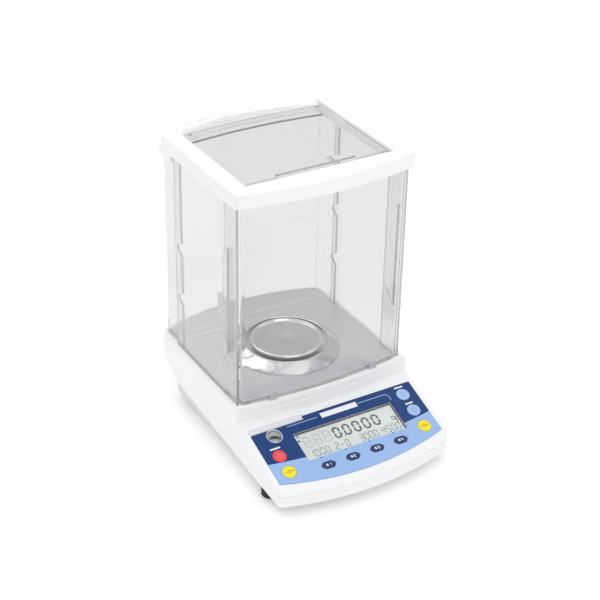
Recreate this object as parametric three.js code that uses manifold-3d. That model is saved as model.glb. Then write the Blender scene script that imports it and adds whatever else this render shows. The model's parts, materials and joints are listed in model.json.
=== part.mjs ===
// Analytical balance: a weighing housing with a sloping control panel, and a clear draft
// shield with two sliding side doors and a sliding lid. Millimetres, +Z up. The model is
// drawn with the deck of the weighing chamber at z = 0 and the front corners of the shield
// at y = 0, and the whole group is then moved so that its origin is on the table.
import * as THREE from 'three';
import { mergeVertices } from 'three/addons/utils/BufferGeometryUtils.js';
import Module from 'manifold-3d';

const wasm = await Module();
wasm.setup();

// ---------------------------------------------------------------- driving dimensions

const DECK_HEIGHT = 83; // chamber deck above the table
const BASE_BOTTOM = -73; // underside of the base pan, so the feet are 10 mm tall
const GAP = 0.3; // between pieces that touch
const HOUSING = { halfWidth: 106.5, front: -96, frontBow: 17.5, rear: 176, rearBow: 18 };
const RIM_TOP = -3; // edge around the foot of the shield
const DECK_TOP = -1.5; // raised middle of the deck, under the floor plate
const CHANNEL = -5; // bottom of the channel that the clear panels stand in
const WALL = 3; // housing wall
const SKIRT_SLOPE = 0.1026; // the housing's lower edge rises to the rear
const SKIRT_HEIGHT = -62.3; // and is this high at y = 0
const RISER = { y: -4, bow: 8.5 }; // step between the deck and the control panel

const PANEL_SLOPE = Math.atan(0.34);
const PANEL_TOP = -16.5; // height of the control panel's plane at y = 0
const OVERLAY = { halfWidth: 100.2, front: -93.5, frontBow: 14.5, back: -23.4, notchX: -36, notch: -28.2 };
const DISPLAY = { left: -57, right: 65, front: -77.8, back: -41.4 };
const LEVEL = { x: -76.5, v: -37, radius: 9 };
const KEY_RADIUS = 7.5;
const KEYS = {
  power_key: { x: -83.5, v: -61.6, color: 0xd94a55 },
  tare_key_left: { x: -83.5, v: -83, color: 0xf2e52c },
  tare_key_right: { x: 84.5, v: -83, color: 0xf2e52c },
  print_key: { x: 84.5, v: -60.2, color: 0xaccaf2 },
  menu_key: { x: 84.5, v: -37.4, color: 0xaccaf2 },
};
const SOFT_KEY = { middle: 4.8, pitch: 29.8, v: -89.9, width: 16, height: 8.6, point: 3.6, count: 4 };

const GLASS = 3; // thickness of the clear panels
const SHIELD = { halfWidth: 97.6, frontBow: 8.3, rear: 172, rearBow: 19, radius: 5 };
const SHIELD_TOP = 228.7;
const RETURN_DEPTH = 30; // front panel's side returns
const HOOD_FRONT = 128.5; // front edge of the rear hood's sides
const HOOD_NOTCH = { tops: [128, 66], depth: 9, slope: 6, height: 15 };
const DOOR = { inner: 98.2, front: 2, rear: 138, bottom: -5.2, top: 232.6 };
const GRIP = { front: 15.5, rear: 42, low: 55, high: 179, proud: 3.2 };

const FRAME = { halfWidth: 105.5, front: -5, frontBow: 12.5, rear: 163, bottom: 229, top: 245 };
const LID_OPENING = { halfWidth: 86, front: 9 };
const LID = { halfWidth: 88.6, front: 6.5, rear: 157, notch: 102, bottom: 239, top: 241.6 };
const LID_GRIP = { halfLength: 47, front: 20, rear: 39.5, proud: 2.6 };
const LID_RIB = { front: 17, rear: 18.2, end: 84, proud: 0.8 };
const HOOD_TOP = 238.5;
const CLIP = { x: 62, width: 9, thick: 2, height: 7.6 }; // on the foot of the front panel

const PAN = { x: 0, y: 74.5, radius: 41, top: 12.4 };
const RING = { outer: 60, inner: 46, height: 10 };
const FLOOR_STEP = { front: 141, side: 147.5, bow: 7, rise: 0.6 }; // at the rear of the floor plate

// ---------------------------------------------------------------- solids

// A closed three.js geometry as a manifold solid, with its faces turned outwards.
function solid(geometry) {
  const bare = geometry.index ? geometry.toNonIndexed() : geometry.clone();
  bare.deleteAttribute('normal');
  bare.deleteAttribute('uv');
  const merged = mergeVertices(bare, 1e-4);
  const corners = merged.index.array;
  const triangles = [];
  for (let i = 0; i < corners.length; i += 3) {
    const [a, b, c] = [corners[i], corners[i + 1], corners[i + 2]];
    if (a !== b && b !== c && c !== a) triangles.push(a, b, c);
  }
  const make = (triVerts) => new wasm.Manifold(new wasm.Mesh({
    numProp: 3,
    vertProperties: new Float32Array(merged.attributes.position.array),
    triVerts: new Uint32Array(triVerts),
  }));
  const made = make(triangles);
  return made.volume() > 0 ? made : make(triangles.reverse());
}

function box(x0, x1, y0, y1, z0, z1) {
  const geometry = new THREE.BoxGeometry(x1 - x0, y1 - y0, z1 - z0);
  return solid(geometry.translate((x0 + x1) / 2, (y0 + y1) / 2, (z0 + z1) / 2));
}

// Extrudes an outline of [u, v] points from w0 to w1, then turns u, v, w onto three axes.
function extrude(points, w0, w1, basis) {
  const shape = new THREE.Shape(points.map(([u, v]) => new THREE.Vector2(u, v)));
  const geometry = new THREE.ExtrudeGeometry(shape, { depth: w1 - w0, bevelEnabled: false });
  geometry.translate(0, 0, w0);
  return solid(basis ? geometry.applyMatrix4(basis) : geometry);
}

const AXIS_X = new THREE.Vector3(1, 0, 0);
const AXIS_Y = new THREE.Vector3(0, 1, 0);
const AXIS_Z = new THREE.Vector3(0, 0, 1);
const ALONG_X = new THREE.Matrix4().makeBasis(AXIS_Y, AXIS_Z, AXIS_X);
const ALONG_Y = new THREE.Matrix4().makeBasis(AXIS_Z, AXIS_X, AXIS_Y);

// A solid of revolution about a vertical axis, from [radius, height] points.
function lathe(profile, x, y, segments) {
  const points = profile.map(([r, z]) => new THREE.Vector2(r, z));
  const geometry = new THREE.LatheGeometry(points, segments);
  return solid(geometry.rotateX(Math.PI / 2).translate(x, y, 0));
}

function cylinder(x, y, radius, z0, z1, segments = 24) {
  return lathe([[0, z0], [radius, z0], [radius, z1], [0, z1]], x, y, segments);
}

// A cylinder that lies along Y or X.
function lyingCylinder(basis, centre, radius, from, to, segments = 24) {
  const ring = [];
  for (let i = 0; i < segments; i += 1) {
    const angle = (i / segments) * 2 * Math.PI;
    ring.push([centre[0] + radius * Math.cos(angle), centre[1] + radius * Math.sin(angle)]);
  }
  return extrude(ring, from, to, basis);
}

// Joins rings of the same point count, each an outline at its own height, into a skin.
function loft(levels) {
  const count = levels[0].outline.length;
  const position = levels.flatMap(({ z, outline }) => outline.flatMap(([x, y]) => [x, y, z]));
  const index = [];
  for (let level = 0; level < levels.length - 1; level += 1) {
    for (let i = 0; i < count; i += 1) {
      const a = level * count + i;
      const b = level * count + ((i + 1) % count);
      index.push(a, b, b + count, a, b + count, a + count);
    }
  }
  const capOf = ({ outline }) => THREE.ShapeUtils.triangulateShape(
    outline.map(([x, y]) => new THREE.Vector2(x, y)), []);
  const last = (levels.length - 1) * count;
  for (const [a, b, c] of capOf(levels[0])) index.push(c, b, a);
  for (const [a, b, c] of capOf(levels[levels.length - 1])) index.push(last + a, last + b, last + c);
  const geometry = new THREE.BufferGeometry();
  geometry.setAttribute('position', new THREE.Float32BufferAttribute(position, 3));
  geometry.setIndex(index);
  return solid(geometry);
}

// Rounds the corners of a polygon: each vertex is [x, y, radius], radius 0 stays sharp.
function rounded(vertices, steps = 5) {
  const outline = [];
  vertices.forEach(([x, y, radius = 0], i) => {
    if (radius === 0) {
      outline.push([x, y]);
      return;
    }
    const corner = new THREE.Vector2(x, y);
    const before = vertices[(i + vertices.length - 1) % vertices.length];
    const after = vertices[(i + 1) % vertices.length];
    const toBefore = new THREE.Vector2(before[0], before[1]).sub(corner).normalize();
    const toAfter = new THREE.Vector2(after[0], after[1]).sub(corner).normalize();
    const half = Math.acos(toBefore.dot(toAfter)) / 2;
    const bisector = toBefore.clone().add(toAfter).normalize();
    const centre = corner.clone().addScaledVector(bisector, radius / Math.sin(half));
    const reach = radius / Math.tan(half);
    const start = corner.clone().addScaledVector(toBefore, reach).sub(centre);
    const end = corner.clone().addScaledVector(toAfter, reach).sub(centre);
    const sweep = Math.atan2(start.cross(end), start.dot(end));
    for (let step = 0; step <= steps; step += 1) {
      const spoke = start.clone().rotateAround(new THREE.Vector2(), (sweep * step) / steps);
      outline.push([centre.x + spoke.x, centre.y + spoke.y]);
    }
  });
  return outline;
}

// Plan outline whose front and rear edges bow outwards, drawn in from its edge by inset.
function bowed(size, inset = 0, bowSteps = 16) {
  const halfWidth = size.halfWidth - inset;
  const front = size.front + inset;
  const rear = size.rear - inset;
  const frontRadius = Math.max(size.frontRadius - inset, 0.6);
  const rearRadius = Math.max(size.rearRadius - inset, 0.6);
  const edge = (base, bow, radius, direction) => {
    const reach = halfWidth - radius * 1.3;
    const count = bow === 0 ? 1 : bowSteps;
    return Array.from({ length: count + 1 }, (_, i) => {
      const x = direction * reach * ((2 * i) / count - 1);
      return [x, base + bow * (1 - (x / halfWidth) ** 2), 0];
    });
  };
  return rounded([
    [-halfWidth, front, frontRadius],
    ...edge(front, -size.frontBow, frontRadius, 1),
    [halfWidth, front, frontRadius],
    [halfWidth, rear, rearRadius],
    ...edge(rear, size.rearBow, rearRadius, -1),
    [-halfWidth, rear, rearRadius],
  ]);
}

const mirrored = (shape) => shape.mirror([1, 0, 0]);

// ---------------------------------------------------------------- scene graph

const balance = new THREE.Group();
const body = new THREE.Group(); // everything, in the drawing frame
const panel = new THREE.Group(); // what lies in the sloping control panel
body.position.z = DECK_HEIGHT;
panel.position.set(0, 0, PANEL_TOP);
panel.rotation.x = PANEL_SLOPE;
balance.add(body);
body.add(panel);

const looks = {
  white: { color: 0xf1f2f3, roughness: 0.42, metalness: 0 },
  grey: { color: 0xb9bbbd, roughness: 0.55, metalness: 0 },
  black: { color: 0x161616, roughness: 0.6, metalness: 0 },
  clear: { color: 0xe6e8ea, roughness: 0.05, metalness: 0, transparent: true, opacity: 0.3 },
  steel: { color: 0xbfc0c2, roughness: 0.3, metalness: 1 },
  polished: { color: 0xd8d9db, roughness: 0.12, metalness: 1 },
  aluminium: { color: 0xa9acb0, roughness: 0.4, metalness: 1 },
  board: { color: 0x1f6b3c, roughness: 0.5, metalness: 0 },
  blue: { color: 0x20498c, roughness: 0.4, metalness: 0 },
  lcd: { color: 0xd2d8d0, roughness: 0.3, metalness: 0 },
  fluid: { color: 0xc9d3a8, roughness: 0.08, metalness: 0 },
};

// Adds a solid to a group as a named mesh with a material of its own.
function add(name, shape, look, parent = body) {
  const { vertProperties, triVerts } = shape.simplify(0.004).getMesh();
  const geometry = new THREE.BufferGeometry();
  geometry.setAttribute('position', new THREE.Float32BufferAttribute(vertProperties, 3));
  geometry.setIndex(Array.from(triVerts));
  geometry.computeVertexNormals();
  const mesh = new THREE.Mesh(geometry, new THREE.MeshStandardMaterial(look));
  mesh.name = name;
  parent.add(mesh);
}

// Turns a solid drawn in the panel's own x, v, w frame into the drawing frame.
function onPanel(shape) {
  return shape.rotate([THREE.MathUtils.radToDeg(PANEL_SLOPE), 0, 0]).translate([0, 0, PANEL_TOP]);
}

// ---------------------------------------------------------------- control panel outlines

function overlayOutline(grow = 0) {
  const { halfWidth, front, frontBow, back, notchX, notch } = OVERLAY;
  const side = halfWidth + grow;
  const corner = 1.2;
  const frontEdge = Array.from({ length: 17 }, (_, i) => {
    const x = (side - 3) * (i / 8 - 1);
    return [x, front - grow - frontBow * (1 - (x / side) ** 2), 0];
  });
  return rounded([
    [-side, front - grow, corner],
    ...frontEdge,
    [side, front - grow, corner],
    [side, back + grow, corner],
    [notchX - grow, back + grow, 0],
    [notchX - grow, notch + grow, 0],
    [-side, notch + grow, corner],
  ], 3);
}

function softKeyOutline(x, grow = 0) {
  const half = SOFT_KEY.width / 2 + grow;
  const high = SOFT_KEY.height / 2 + grow;
  const shoulder = half - SOFT_KEY.point;
  const blunt = high * 0.3;
  return rounded([
    [x - half, SOFT_KEY.v - blunt, 1.2],
    [x - shoulder, SOFT_KEY.v - high, 1],
    [x + shoulder, SOFT_KEY.v - high, 1],
    [x + half, SOFT_KEY.v - blunt, 1.2],
    [x + half, SOFT_KEY.v + blunt, 1.2],
    [x + shoulder, SOFT_KEY.v + high, 1],
    [x - shoulder, SOFT_KEY.v + high, 1],
    [x - half, SOFT_KEY.v + blunt, 1.2],
  ], 2);
}

const softKeyPlaces = Array.from({ length: SOFT_KEY.count }, (_, i) => (
  SOFT_KEY.middle + SOFT_KEY.pitch * (i - (SOFT_KEY.count - 1) / 2)));

// Every hole that the overlay and the housing below it share, grown by a clearance.
function panelHoles(grow, w0, w1) {
  const { left, right, front, back } = DISPLAY;
  const holes = [
    box(left - grow, right + grow, front - grow, back + grow, w0, w1),
    cylinder(LEVEL.x, LEVEL.v, LEVEL.radius + grow, w0, w1, 28),
    ...Object.values(KEYS).map(({ x, v }) => cylinder(x, v, KEY_RADIUS + grow, w0, w1, 24)),
    ...softKeyPlaces.map((x) => extrude(softKeyOutline(x, grow), w0, w1)),
  ];
  return holes.reduce((all, hole) => all.add(hole));
}

// ---------------------------------------------------------------- housing

const housingPlan = { ...HOUSING, frontRadius: 8, rearRadius: 20 };
const skirtHeight = (y) => SKIRT_HEIGHT + SKIRT_SLOPE * y;

// The region over and in front of the control panel. The riser behind it has three treads.
function abovePanel(drop, shift) {
  const treads = [[-5, 40, 0], [-11, -5, 1], [-90, -11, 2]];
  const reach = HOUSING.halfWidth + 20;
  const parts = treads.map(([low, high, forward]) => {
    const arc = Array.from({ length: 21 }, (_, i) => {
      const x = reach * (1 - i / 10);
      const across = Math.min(Math.abs(x) / HOUSING.halfWidth, 1);
      return [x, RISER.y - forward + shift - RISER.bow * (1 - across ** 2)];
    });
    return extrude([[-reach, -160], [reach, -160], ...arc], low - drop, high - drop);
  });
  const over = onPanel(box(-reach, reach, -200, 60, -drop, 120));
  return parts.reduce((all, part) => all.add(part)).intersect(over);
}

function housingSkin(inset) {
  const drafts = [[BASE_BOTTOM + 0.5, 3], [-68, 2.1], [-40, 0.6], [-6, 0], [RIM_TOP - 0.9, 0],
    [RIM_TOP, 0.9]];
  return loft(drafts.map(([z, draft]) => ({ z, outline: bowed(housingPlan, draft + inset) })));
}

function upperHousing() {
  const { rear } = HOUSING;
  let shell = housingSkin(0).subtract(abovePanel(0, 0));

  // Hollow inside, with a closed floor under the overhanging rear end.
  const roof = box(-200, 200, -200, 300, CHANNEL - 2.5, 50);
  const overhang = box(-200, 200, 158.6, 300, -100, -30);
  const hollow = loft([
    { z: -90, outline: bowed(housingPlan, 3 + WALL) },
    { z: 30, outline: bowed(housingPlan, WALL) },
  ]).subtract(roof).subtract(overhang).subtract(abovePanel(3.5, WALL));
  shell = shell.subtract(hollow);

  // The skirt's lower edge rises to the rear and turns up under the rear end.
  const below = [[-140, -110], [260, -110], [260, -33], [163, -33], [126, skirtHeight(126)],
    [-140, skirtHeight(-140)]];
  shell = shell.subtract(extrude(below, -150, 150, ALONG_X));

  // Channel for the clear panels, with the raised deck inside it, and the two grooves for the doors.
  const deckPlan = {
    halfWidth: SHIELD.halfWidth + 0.4, front: -0.4, frontBow: SHIELD.frontBow,
    rear: SHIELD.rear + 0.4, rearBow: SHIELD.rearBow, frontRadius: 5, rearRadius: 5,
  };
  const deck = extrude(bowed(deckPlan), CHANNEL, 20);
  const middle = extrude(bowed(deckPlan, 6.2), CHANNEL - 1, DECK_TOP);
  const groove = box(DOOR.inner - GAP, DOOR.inner + GLASS + GAP, DOOR.front - 1, rear + 40,
    DOOR.bottom - GAP, 20);
  shell = shell.subtract(deck).subtract(groove).subtract(mirrored(groove)).add(middle);

  // Bore for the pan's stem, and the pockets of the control panel.
  shell = shell.subtract(cylinder(PAN.x, PAN.y, 9, -20, 20, 24));
  const overlayPocket = extrude(overlayOutline(GAP), -0.8, 20);
  const labelPocket = box(-OVERLAY.halfWidth - GAP, OVERLAY.notchX + 1, OVERLAY.notch - 1,
    OVERLAY.back + 2.6, -0.8, 20);
  const pockets = overlayPocket.add(labelPocket).add(panelHoles(0.4, -9, 5));
  shell = shell.subtract(onPanel(pockets));

  // Two shallow grooves run along the front lip.
  for (const z of [-58.5, -65]) {
    const outside = loft([
      { z: z - 0.7, outline: bowed(housingPlan, -10) },
      { z: z + 0.7, outline: bowed(housingPlan, -10) },
    ]);
    const inside = loft([
      { z: z - 5, outline: bowed(housingPlan, 2.2) },
      { z: z + 5, outline: bowed(housingPlan, 2.2) },
    ]);
    const frontOnly = box(-104, 104, -160, -92, -90, 0);
    shell = shell.subtract(outside.subtract(inside).intersect(frontOnly));
  }
  return shell;
}

const basePlan = {
  halfWidth: 99.3, front: -89, frontBow: 16.8, rear: 158, rearBow: 0, frontRadius: 8, rearRadius: 14,
};
const FEET = { frontX: 92.5, frontY: -56, rearX: 80, rearY: 134 };
const SCREWS = [[-70, -30], [70, -30], [-62, 136], [62, 136]];
const CONNECTOR_PLATE = { left: -72, right: 72, low: -66, high: -40 };

function basePan() {
  const outside = loft([
    { z: BASE_BOTTOM, outline: bowed(basePlan, 3) },
    { z: BASE_BOTTOM + 3, outline: bowed(basePlan, 0.5) },
    { z: -20, outline: bowed(basePlan, 0) },
  ]);
  const inside = loft([
    { z: BASE_BOTTOM + 2.5, outline: bowed(basePlan, 4) },
    { z: 0, outline: bowed(basePlan, 2.5) },
  ]);
  const lift = 4.5; // how far the pan's wall stands up inside the skirt
  const over = [[-150, skirtHeight(-150) + lift], [124, skirtHeight(124) + lift], [156, -36], [156, -31],
    [200, -31], [200, 20], [-150, 20]];
  let pan = outside.subtract(inside).subtract(extrude(over, -150, 150, ALONG_X));
  for (const [x, y] of SCREWS) {
    pan = pan.add(cylinder(x, y, 6, BASE_BOTTOM + 1, -66, 12));
    pan = pan.subtract(cylinder(x, y, 2, -90, 0, 12));
  }
  for (const side of [-1, 1]) {
    pan = pan.add(cylinder(side * FEET.frontX, FEET.frontY, 6.5, BASE_BOTTOM + 1, -64, 16));
    pan = pan.subtract(cylinder(side * FEET.frontX, FEET.frontY, 3.4, -90, 0, 16));
    pan = pan.subtract(cylinder(side * FEET.rearX, FEET.rearY, 3.3, -90, 0, 16));
  }
  const { left, right, low, high } = CONNECTOR_PLATE;
  return pan.subtract(box(left + 5, right - 5, 140, 170, low + 4, high - 4));
}

function addHousing() {
  add('upper_housing', upperHousing(), looks.white);
  add('base_pan', basePan(), looks.grey);
  SCREWS.forEach(([x, y], i) => {
    const profile = [[0, -75], [2.6, -75], [3.6, -74], [3.6, BASE_BOTTOM - GAP], [1.7, BASE_BOTTOM - GAP],
      [1.7, -61], [0, -61]];
    add(`housing_screw_${i + 1}`, lathe(profile, x, y, 12), looks.steel);
  });
}

function addFeet() {
  const table = -DECK_HEIGHT;
  const wheel = [[0, table], [8.4, table], [10, table + 1.4], [10, table + 7.6], [8.8, table + 8.8],
    [3, table + 8.8], [3, -58], [0, -58]];
  for (const [name, side] of [['left', -1], ['right', 1]]) {
    let foot = lathe(wheel, side * FEET.frontX, FEET.frontY, 24);
    for (let i = 0; i < 12; i += 1) {
      const angle = (i / 12) * 2 * Math.PI;
      const x = side * FEET.frontX + 10.6 * Math.cos(angle);
      const y = FEET.frontY + 10.6 * Math.sin(angle);
      foot = foot.subtract(cylinder(x, y, 1.3, table + 1.5, table + 7.5, 6));
    }
    add(`levelling_foot_${name}`, foot, looks.black);
    const pad = [[0, table], [8, table], [9, table + 1], [8.4, BASE_BOTTOM - GAP], [3, BASE_BOTTOM - GAP],
      [3, -68], [0, -68]];
    add(`rear_foot_${name}`, lathe(pad, side * FEET.rearX, FEET.rearY, 20), looks.black);
  }
}

// ---------------------------------------------------------------- control panel

function addControlPanel() {
  const overlay = extrude(overlayOutline(), -0.5, 0.4).subtract(panelHoles(0.3, -2, 2));
  add('keypad_overlay', overlay, looks.blue, panel);
  const label = box(-OVERLAY.halfWidth + 0.2, OVERLAY.notchX - 0.6, OVERLAY.notch + 0.9,
    OVERLAY.back + 2.3, -0.5, 0.2);
  add('label_plate', label, looks.white, panel);

  const cap = [[0, -2.6], [KEY_RADIUS, -2.6], [KEY_RADIUS, 0.5], [KEY_RADIUS - 0.7, 0.95],
    [KEY_RADIUS - 2.7, 1.1], [0, 1.15]];
  for (const [name, { x, v, color }] of Object.entries(KEYS)) {
    const look = { color, roughness: 0.35, metalness: 0 };
    add(name, lathe(cap, x, v, 24), look, panel);
  }
  softKeyPlaces.forEach((x, i) => {
    const key = loft([
      { z: -2.6, outline: softKeyOutline(x) },
      { z: 0.6, outline: softKeyOutline(x) },
      { z: 1.05, outline: softKeyOutline(x, -0.6) },
    ]);
    add(`soft_key_${i + 1}`, key, looks.blue, panel);
  });

  const { left, right, front, back } = DISPLAY;
  add('display_window', box(left, right, front, back, -1.5, -0.7), looks.clear, panel);
  add('lcd_module', box(left - 0.1, right + 0.1, front - 0.1, back + 0.1, -8.5, -2.0), looks.lcd, panel);
  const board = box(-92, 92, -98, -28, -12, -10.4);
  const stem = [];
  for (const x of [-40, 48]) stem.push(box(x - 6, x + 6, -66, -54, -10.6, -8.8));
  add('display_board', stem.reduce((all, part) => all.add(part), board), looks.board, panel);

  const r = LEVEL.radius;
  const ring = [[r, -3], [r, 0.8], [r - 0.5, 1.3], [r - 1.4, 1.3], [r - 1.9, 0.6], [r - 1.9, -3], [r, -3]];
  add('level_ring', lathe(ring, LEVEL.x, LEVEL.v, 28), looks.polished, panel);
  const vial = [[0, -6], [r - 2.2, -6], [r - 2.2, 0.1], [r - 3.4, 0.5], [0, 0.8]];
  add('level_vial', lathe(vial, LEVEL.x, LEVEL.v, 24), looks.fluid, panel);
}

// ---------------------------------------------------------------- draft shield

// A crescent scoop: flat across its front, an arc at the rear, highest along the front.
function crescent(front, rear, halfLength, proud) {
  const steps = 14;
  const outline = [[front, -halfLength], [front, halfLength]];
  for (let i = 1; i < steps; i += 1) {
    const along = halfLength * (1 - (2 * i) / steps);
    outline.push([front + (rear - front) * (1 - (along / halfLength) ** 2), along]);
  }
  const depth = rear - front;
  const wedge = extrude([[front - 1, -0.6], [rear + 4, -0.6], [rear, 0.2], [front + depth / 3, proud * 0.82],
    [front, proud], [front - 1, proud]], -halfLength, halfLength,
  new THREE.Matrix4().makeBasis(AXIS_X, AXIS_Z, AXIS_Y.clone().negate()));
  return extrude(outline, -0.6, proud + 1).intersect(wedge);
}

const shieldPlan = (front, rear, rearBow, frontBow) => ({
  halfWidth: SHIELD.halfWidth, front, frontBow, rear, rearBow,
  frontRadius: SHIELD.radius, rearRadius: SHIELD.radius,
});

function frontPanel() {
  const outer = bowed(shieldPlan(0, 80, 0, SHIELD.frontBow));
  const inner = bowed(shieldPlan(0, 90, 0, SHIELD.frontBow), GLASS);
  const wall = extrude(outer, CHANNEL + GAP, SHIELD_TOP).subtract(extrude(inner, -20, 260));
  return wall.subtract(box(-120, 120, RETURN_DEPTH, 120, -20, 260));
}

function rearHood() {
  const plan = shieldPlan(60, SHIELD.rear, SHIELD.rearBow, 0);
  const outer = extrude(bowed(plan), CHANNEL + GAP, HOOD_TOP);
  const inner = extrude(bowed({ ...plan, front: 50 }, GLASS), -20, 233.5);
  const well = extrude(bowed({ ...plan, front: 50 }, 5.5), 236, 260);
  let hood = outer.subtract(inner).subtract(well);
  hood = hood.subtract(box(-120, 120, 0, HOOD_FRONT, -20, 260));
  // Between the frame's bars only the shelf goes forward, and its front edge is bowed.
  const ahead = FRAME.rear + 0.4;
  hood = hood.subtract(box(-120, 120, 0, ahead, SHIELD_TOP, 260));
  const lip = (y0) => Array.from({ length: 13 }, (_, i) => {
    const x = (LID_OPENING.halfWidth - 0.4) * (i / 6 - 1);
    return [x, y0 + 6.6 * (1 - (x / LID_OPENING.halfWidth) ** 2)];
  });
  const side = LID_OPENING.halfWidth - 0.4;
  const shelf = extrude([...lip(147.5), [side, ahead + 4], [-side, ahead + 4]], 233.5, 236);
  const fold = extrude([...lip(147.5), ...lip(150).reverse()], 230, 236);
  hood = hood.add(shelf).add(fold);
  // The front edges of its sides have two notches each.
  for (const high of HOOD_NOTCH.tops) {
    const low = high - HOOD_NOTCH.height;
    const deep = HOOD_FRONT + HOOD_NOTCH.depth;
    const notch = [[HOOD_FRONT - 5, high], [HOOD_FRONT, high], [deep, high - HOOD_NOTCH.slope],
      [deep, low + HOOD_NOTCH.slope], [HOOD_FRONT, low], [HOOD_FRONT - 5, low]];
    hood = hood.subtract(extrude(notch, -120, 120, ALONG_X));
  }
  return hood;
}

function door() {
  const { inner, front, rear, bottom, top } = DOOR;
  const plate = extrude(rounded([[front, bottom, 1], [rear, bottom, 1], [rear, top, 1], [front, top, 1]], 2),
    inner, inner + GLASS, ALONG_X);
  const middle = (GRIP.low + GRIP.high) / 2;
  const grip = crescent(GRIP.front, GRIP.rear, (GRIP.high - GRIP.low) / 2, GRIP.proud);
  const outward = grip.transform(
    new THREE.Matrix4().makeBasis(AXIS_Y, AXIS_Z, AXIS_X).setPosition(inner + GLASS, 0, middle).elements);
  return plate.add(outward);
}

function topLid() {
  const { halfWidth, front, rear, notch, bottom, top } = LID;
  const narrow = LID_OPENING.halfWidth - 0.6;
  const rearEdge = Array.from({ length: 13 }, (_, i) => {
    const x = narrow * (1 - i / 6);
    return [x, rear - 5 + 5 * (1 - (x / narrow) ** 2)];
  });
  const outline = [[-halfWidth, front], [halfWidth, front], [halfWidth, notch], [narrow, notch],
    ...rearEdge, [-narrow, notch], [-halfWidth, notch]];
  const grip = crescent(LID_GRIP.front, LID_GRIP.rear, LID_GRIP.halfLength, LID_GRIP.proud);
  const upward = grip.transform(
    new THREE.Matrix4().makeBasis(AXIS_Y, AXIS_X.clone().negate(), AXIS_Z).setPosition(0, 0, top).elements);
  const rib = box(LID_GRIP.halfLength - 1, LID_RIB.end, LID_RIB.front, LID_RIB.rear,
    top - 0.5, top + LID_RIB.proud);
  return extrude(outline, bottom, top).add(upward).add(rib).add(mirrored(rib));
}

function topFrame() {
  const { front, frontBow, rear, bottom, top, halfWidth } = FRAME;
  const plan = { halfWidth, front, frontBow, rear, rearBow: 0, frontRadius: 7, rearRadius: 7 };
  const levels = [[bottom, 0.8], [bottom + 1.2, 0], [top - 3, 0], [top - 1, 0.9], [top, 2.6]];
  let frame = loft(levels.map(([z, inset]) => ({ z, outline: bowed(plan, inset) })));
  const opening = LID_OPENING.halfWidth;
  frame = frame.subtract(box(-opening, opening, LID_OPENING.front, 200, 200, 260));
  const cheek = box(DOOR.inner + GLASS + GAP + 0.2, halfWidth, rear - 26, rear - 1, 222, bottom + 3);
  frame = frame.add(cheek).add(mirrored(cheek));
  const track = box(-LID.halfWidth - 0.5, LID.halfWidth + 0.5, LID.front - 0.6, 200,
    LID.bottom - 0.4, LID.top + 0.4);
  const groove = box(DOOR.inner - GAP, DOOR.inner + GLASS + GAP, DOOR.front - 1, 200, 200, DOOR.top + GAP);
  return frame.subtract(track).subtract(groove).subtract(mirrored(groove));
}

function panelClip(x) {
  const y = -SHIELD.frontBow * (1 - (x / SHIELD.halfWidth) ** 2);
  return box(x - CLIP.width / 2, x + CLIP.width / 2, y - CLIP.thick - 0.6, y - 0.6,
    RIM_TOP + GAP, RIM_TOP + CLIP.height);
}

function addDraftShield() {
  add('front_panel', frontPanel(), looks.clear);
  add('rear_hood', rearHood(), looks.clear);
  add('right_door', door(), looks.clear);
  add('left_door', mirrored(door()), looks.clear);
  add('top_lid', topLid(), looks.clear);
  add('top_frame', topFrame(), looks.white);
  add('panel_clip_left', panelClip(-CLIP.x), looks.grey);
  add('panel_clip_right', panelClip(CLIP.x), looks.grey);
}

// ---------------------------------------------------------------- weighing chamber

function addWeighing() {
  const platePlan = {
    halfWidth: 94, front: 3.6, frontBow: SHIELD.frontBow, rear: SHIELD.rear - GLASS - 0.6,
    rearBow: SHIELD.rearBow - 0.4, frontRadius: 3, rearRadius: 3,
  };
  // A pressed tray: its edge is turned down into the channel.
  let plate = extrude(bowed(platePlan), CHANNEL + GAP, FLOOR_STEP.rise * 2)
    .subtract(extrude(bowed(platePlan, 1.2), CHANNEL - 1, DECK_TOP + GAP));
  // Two low steps rise to the rear: the first is straight, the second is bowed.
  plate = plate.subtract(box(-120, 120, -30, FLOOR_STEP.front, 0, 20));
  const bowedFront = Array.from({ length: 17 }, (_, i) => {
    const x = 100 * (1 - i / 8);
    return [x, FLOOR_STEP.side + FLOOR_STEP.bow * (1 - (x / 100) ** 2)];
  });
  plate = plate.subtract(extrude([[-100, 100], [100, 100], ...bowedFront], FLOOR_STEP.rise, 20));
  // Between the front panel's returns and the hood it reaches out to the doors.
  const wing = box(-DOOR.inner + 0.8, DOOR.inner - 0.8, RETURN_DEPTH + 0.6, HOOD_FRONT - 0.6,
    DECK_TOP + GAP, 0);
  plate = plate.add(wing);
  plate = plate.subtract(cylinder(PAN.x, PAN.y, 12, -10, 10, 32));
  add('floor_plate', plate, looks.steel);

  const { outer, inner, height } = RING;
  const ringProfile = [[outer, GAP], [outer - 0.4, 1.3], [inner + 2.2, height - 0.4], [inner + 1.1, height],
    [inner, height - 0.6], [inner, GAP], [outer, GAP]];
  add('breeze_ring', lathe(ringProfile, PAN.x, PAN.y, 56), looks.polished);

  const { radius, top } = PAN;
  const panProfile = [[0, 7.4], [3.4, 7.4], [3.4, 2.6], [6.5, 2.6], [6.5, 8.4], [radius - 4, 8.4],
    [radius - 0.7, 9.6], [radius, 10.6], [radius, top - 1], [radius - 0.7, top - 0.3], [radius - 2.6, top],
    [radius - 3.6, top - 0.3], [radius - 4.8, 10.6], [0, 10.6]];
  add('weighing_pan', lathe(panProfile, PAN.x, PAN.y, 48), looks.steel);
  const post = [[0, -27], [7, -27], [7, -24.5], [5, -23], [3.1, -12], [3.1, 7], [0, 7]];
  add('pan_support', lathe(post, PAN.x, PAN.y, 24), looks.aluminium);
}

// ---------------------------------------------------------------- inside the housing

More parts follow.
